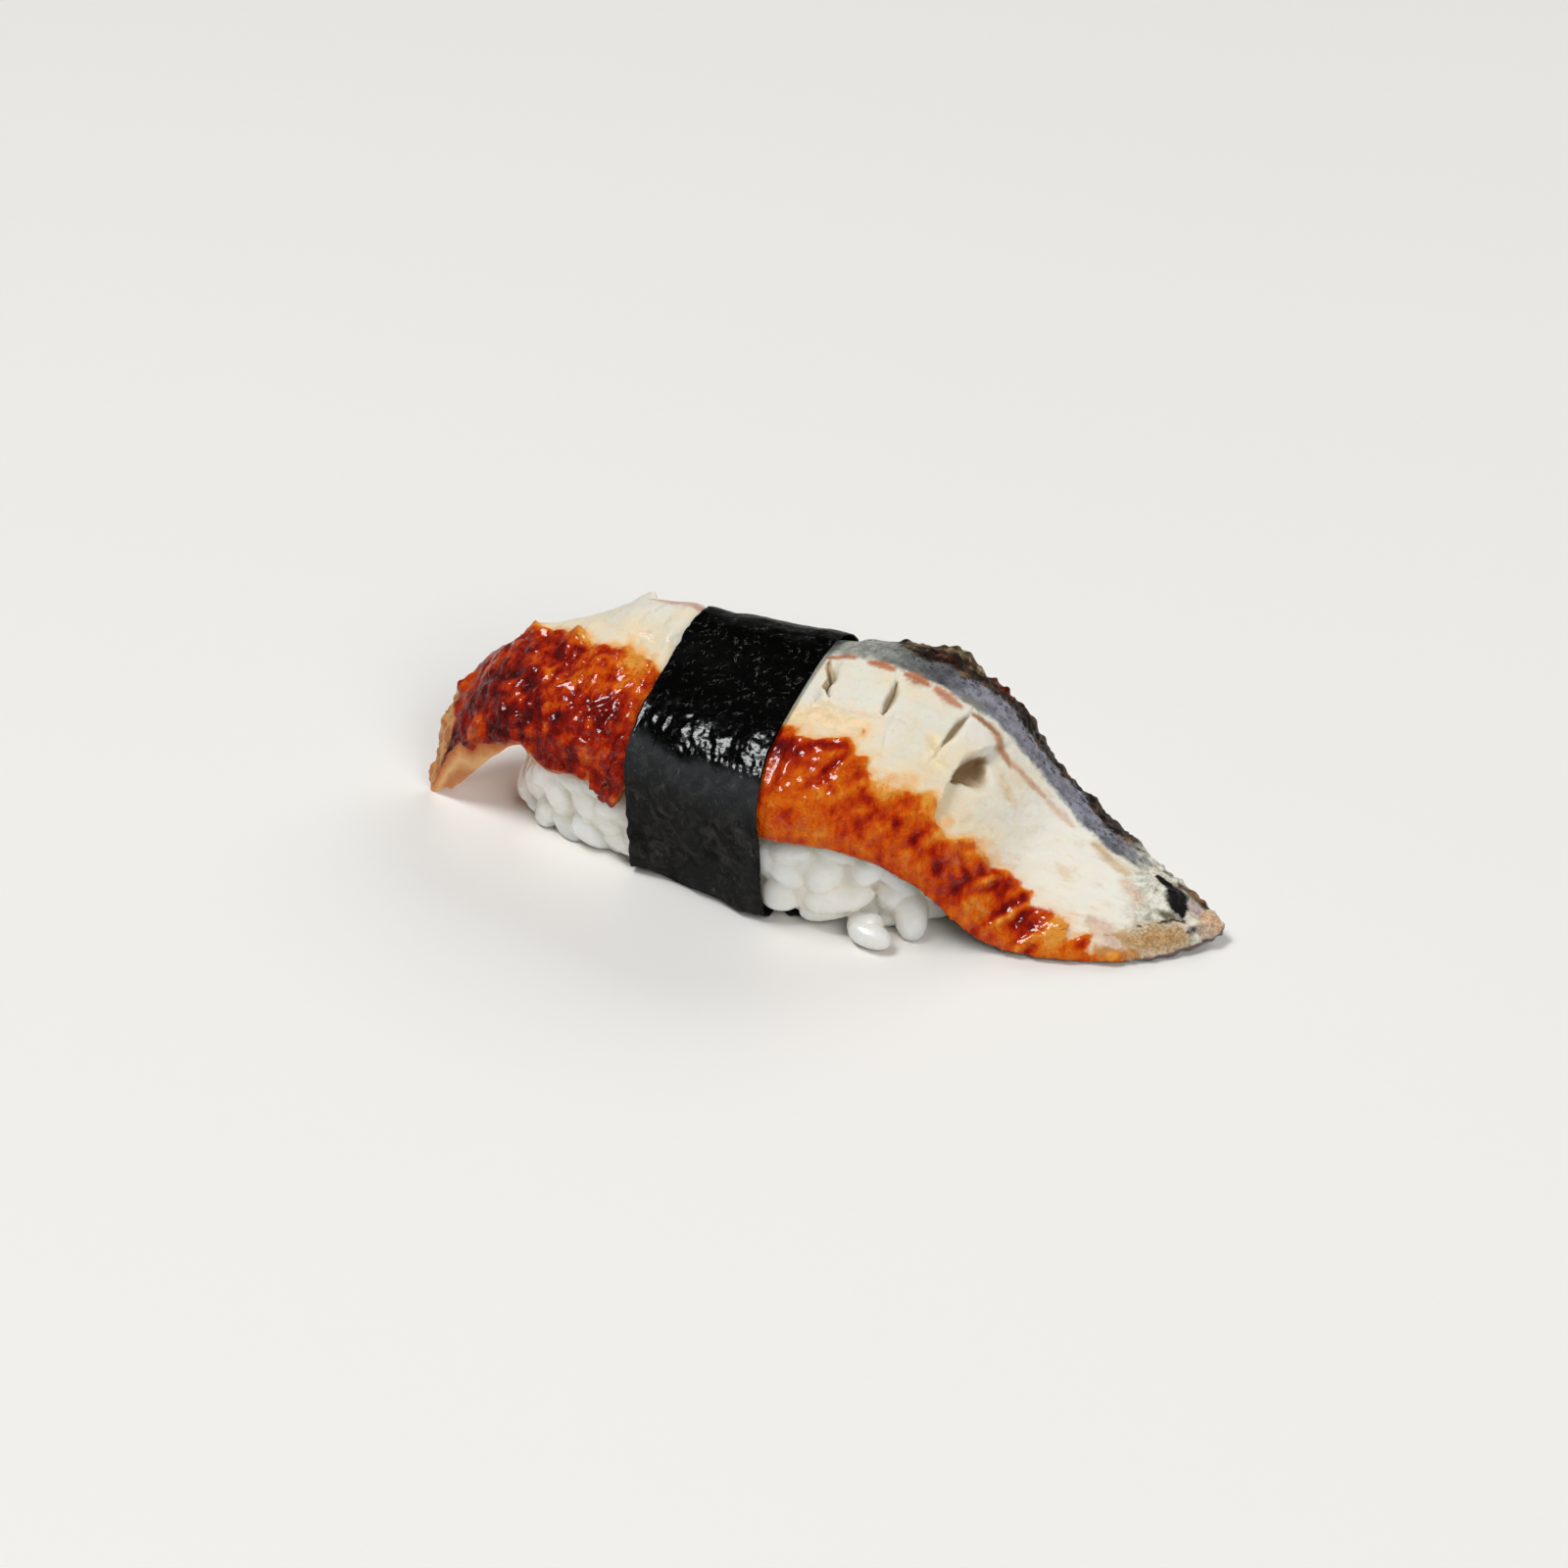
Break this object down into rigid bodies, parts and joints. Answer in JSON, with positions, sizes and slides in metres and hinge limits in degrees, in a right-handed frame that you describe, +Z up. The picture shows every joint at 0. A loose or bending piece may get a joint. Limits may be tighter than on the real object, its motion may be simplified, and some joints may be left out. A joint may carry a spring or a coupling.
{
  "type": "eel nigiri",
  "caption": "Eel nigiri: a glazed slice of grilled eel draped over a bed of pressed rice and held by a band of dried seaweed.",
  "frame": {"origin": "middle of the seaweed band's underside, on the plane that the piece rests on", "axes": "+X runs along the piece towards the thin tail of the eel, +Y points to the back, away from the glazed front, and +Z points up"},
  "size_m": [0.0895, 0.0303, 0.0227],
  "materials": {
    "cooked_rice": "moist, translucent white grains",
    "grilled_eel": "sticky orange to dark red glaze over flaky white flesh, with grey skin and a charred edge",
    "dried_seaweed": "black sheet, glossy and finely wrinkled on top, matte down the sides"
  },
  "bodies": {
    "root": {"rice_bed": "cooked_rice", "eel_slice": "grilled_eel", "seaweed_band": "dried_seaweed"}
  },
  "joints": []
}
